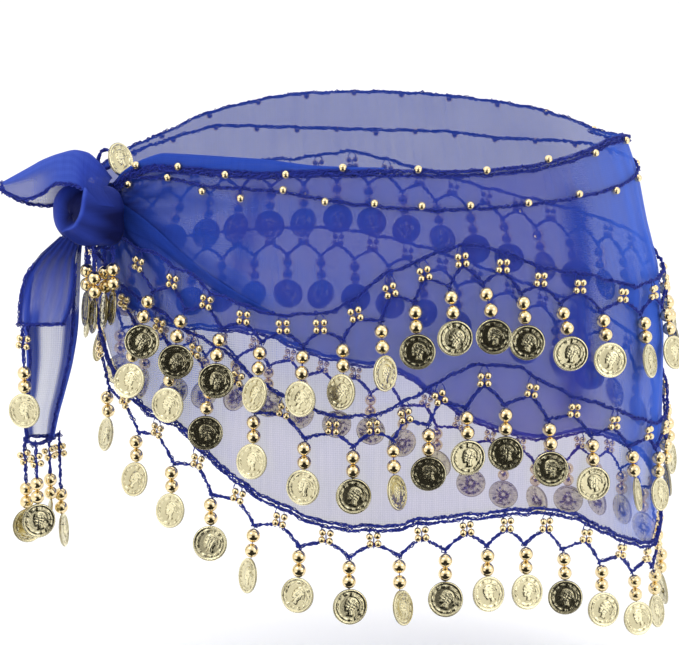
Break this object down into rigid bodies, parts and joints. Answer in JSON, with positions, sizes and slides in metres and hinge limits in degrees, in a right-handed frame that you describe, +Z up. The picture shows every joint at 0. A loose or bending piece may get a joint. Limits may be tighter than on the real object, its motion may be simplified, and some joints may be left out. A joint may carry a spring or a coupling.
{
  "type": "coin belt",
  "caption": "Sheer cloth hip wrap tied at one side, with rows of netted gold coins and beads, in its hollow worn shape.",
  "frame": {"origin": "middle of the waist opening, level with the middle of the front top edge, where the wearer's hips hold the belt", "axes": "+X to the viewer's right, across the hips; +Y to the wearer's back; +Z up, out of the waist opening"},
  "size_m": [0.4012, 0.2787, 0.3124],
  "materials": {
    "cloth": "sheer chiffon, royal blue",
    "crochet": "crocheted yarn, dark blue",
    "gold": "thin stamped coins and plated beads, gold, on blue crochet"
  },
  "bodies": {
    "root": {"wrap_panel": "cloth", "top_edging": "crochet", "bead_chain": "crochet", "coin_row_1": "gold", "coin_row_2": "gold", "coin_row_3": "gold", "knot": "cloth", "knot_ear": "cloth", "tail_long": "cloth", "tail_short": "cloth", "tail_short_fringe": "gold", "tail_long_fringe": "gold", "bunch_fringe": "gold"}
  },
  "joints": []
}
